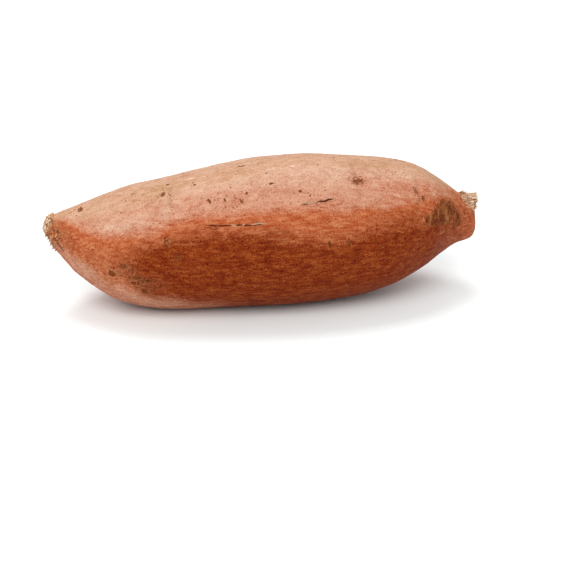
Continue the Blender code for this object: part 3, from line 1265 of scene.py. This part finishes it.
def speck_tree(finish):
    tree, start, end = new_tree("corky_specks", SPECKS)
    sizes, seed = start.outputs, start.outputs["Seed"]
    place = add_node(tree, "GeometryNodeInputPosition").outputs[0]
    parts = add_node(tree, "ShaderNodeSeparateXYZ", {0: place})
    high_enough = ranged(tree, parts.outputs["Z"], 2 * MM, 6 * MM)
    patchy = ranged(tree, noise(tree, place, 45.0, 1.0, 0.5, seed), 0.40, 0.62, 0.15, 1.0)
    scatter = add_node(
        tree,
        "GeometryNodeDistributePointsOnFaces",
        {
            "Mesh": sizes[0],
            "Distance Min": sizes["Least distance"],
            "Density Max": sizes["Specks per square metre"],
            "Density Factor": times(tree, high_enough, patchy),
            "Seed": seed,
        },
        distribute_method="POISSON",
    )
    ball = add_node(tree, "GeometryNodeMeshIcoSphere", {"Radius": 0.5, "Subdivisions": 2})
    angle = chance(tree, 0.0, FULL_TURN, seed, 0)
    spin = rolled(tree, scatter.outputs["Rotation"], angle)
    length = times(tree, chance(tree, 0.45, 1.5, seed, 1), sizes["Speck length"])
    width = times(tree, chance(tree, 0.6, 1.2, seed, 2), sizes["Speck width"])
    inputs = {0: length, 1: width, 2: sizes["Speck height"]}
    size = add_node(tree, "ShaderNodeCombineXYZ", inputs)
    specks = add_node(
        tree,
        "GeometryNodeInstanceOnPoints",
        {
            "Points": scatter.outputs["Points"],
            "Instance": ball.outputs[0],
            "Rotation": spin,
            "Scale": size.outputs[0],
        },
    )
    return finished(tree, end, specks.outputs[0], finish)


CORK = (rgba(0.25, 0.083, 0.027), rgba(0.18, 0.056, 0.018), rgba(0.12, 0.036, 0.012))

specks = grown(skin, speck_tree(fibre_finish("cork", *CORK)), "corky_specks", SPECKS)
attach(specks, "root")

# %% [markdown]
# ## Floor, light and camera
#
# A pale seamless floor and large soft lights leave only a faint shadow where the root touches
# down, so that its colours read clearly. One wide panel hangs above and behind the root, and a
# wider one above and in front of it. The surroundings look white to the camera, but they light
# the root more weakly. A long lens keeps the root's two ends in proportion.


# %% Floor
FLOOR_RADIUS = 1.3


def floor_finish():
    finish, tree, shader, place = new_finish("pale_floor")
    shade = ranged(tree, noise(tree, place, 9.0, 2.0, 0.5, 0.0), 0.3, 0.7, 0.90, 0.92)
    less_red = times(tree, shade, 0.96)
    white = add_node(tree, "ShaderNodeCombineColor", {0: less_red, 1: shade, 2: shade}).outputs[0]
    tree.links.new(white, shader.inputs["Base Color"])
    shader.inputs["Roughness"].default_value = 0.9
    shader.inputs["Specular IOR Level"].default_value = 0.1
    return finish


def make_floor(radius):
    mesh = bpy.data.meshes.new("pale_floor")
    disc = bmesh.new()
    bmesh.ops.create_circle(disc, cap_ends=True, segments=96, radius=radius)
    disc.to_mesh(mesh)
    disc.free()
    mesh.materials.append(floor_finish())
    return link(bpy.data.objects.new("pale_floor", mesh))


make_floor(FLOOR_RADIUS)


# %% Lights
def panel(name, place, target, size, power):
    light = bpy.data.lights.new(name, "AREA")
    light.shape = "RECTANGLE"
    light.size, light.size_y = size
    light.energy = power
    obj = link(bpy.data.objects.new(name, light))
    obj.location = place
    obj.rotation_euler = (Vector(target) - Vector(place)).to_track_quat("-Z", "Y").to_euler()


centre = Vector((0.0, 0.0, 0.03))
panel("top_panel", (-0.25, 0.9, 2.6), centre, (1.6, 1.2), 36.0)
panel("front_panel", (-0.6, -1.8, 2.2), centre, (2.4, 1.8), 52.0)

LIT_STRENGTH = 0.70  # how strongly the surroundings light the root
SEEN_STRENGTH = 1.05  # how bright they look to the camera

world = bpy.data.worlds.new("pale_surrounding")
world.use_nodes = True
backdrop = world.node_tree.nodes["Background"]
backdrop.inputs["Color"].default_value = rgba(1.0, 1.0, 1.0)
seen = add_node(world.node_tree, "ShaderNodeLightPath").outputs["Is Camera Ray"]
strength = ranged(world.node_tree, seen, 0.0, 1.0, LIT_STRENGTH, SEEN_STRENGTH, smooth=False)
world.node_tree.links.new(strength, backdrop.inputs["Strength"])
bpy.context.scene.world = world
bpy.context.scene.view_settings.view_transform = "Standard"
print("lights are on")

# %% Camera
AZIMUTH = math.radians(-8.0)
ELEVATION = math.radians(25.0)
DISTANCE = 0.640
TARGET = Vector((0.0115, 0.0, 0.002))


def make_camera():
    away = Vector(
        (
            math.sin(AZIMUTH) * math.cos(ELEVATION),
            -math.cos(AZIMUTH) * math.cos(ELEVATION),
            math.sin(ELEVATION),
        )
    )
    lens = bpy.data.cameras.new("camera")
    lens.lens = 85.0
    lens.sensor_width = 36.0
    lens.clip_start = 0.01
    camera = link(bpy.data.objects.new("camera", lens))
    camera.location = TARGET + away * DISTANCE
    camera.rotation_euler = (-away).to_track_quat("-Z", "Y").to_euler()
    return camera


bpy.context.scene.camera = make_camera()
